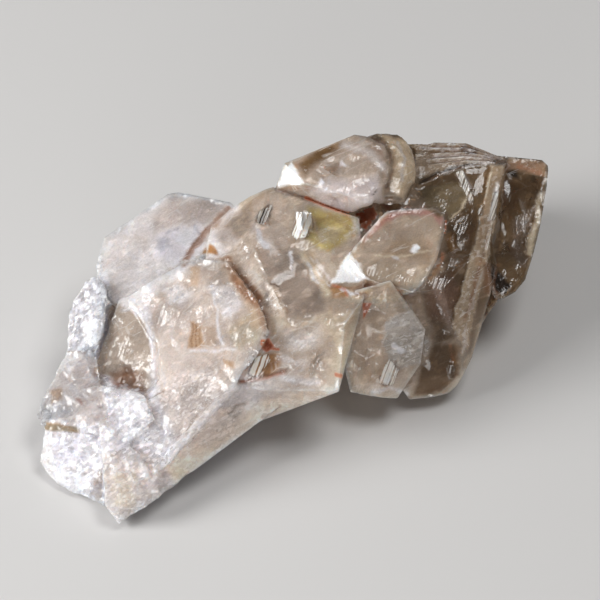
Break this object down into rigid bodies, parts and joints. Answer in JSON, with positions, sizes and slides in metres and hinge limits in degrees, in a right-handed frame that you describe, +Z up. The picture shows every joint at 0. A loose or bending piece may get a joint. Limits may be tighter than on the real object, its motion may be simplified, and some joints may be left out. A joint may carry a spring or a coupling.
{
  "type": "elestial quartz cluster",
  "caption": "Hand-sized cluster of parallel-grown smoky and milky quartz crystals with stepped faces, ledges and sunken windows.",
  "frame": {"origin": "middle of the footprint's bounding box, on the surface that the cluster rests on", "axes": "+X along the cluster's longest extent, from its white frosted end towards its smoky end; +Z up, along its shortest extent; +Y towards its hidden back"},
  "size_m": [0.1186, 0.0592, 0.0378],
  "materials": {
    "quartz": "milky and smoky translucent, glossy crystal faces with frosted areas"
  },
  "bodies": {
    "root": {"elestial_quartz_cluster": "quartz"}
  },
  "joints": []
}
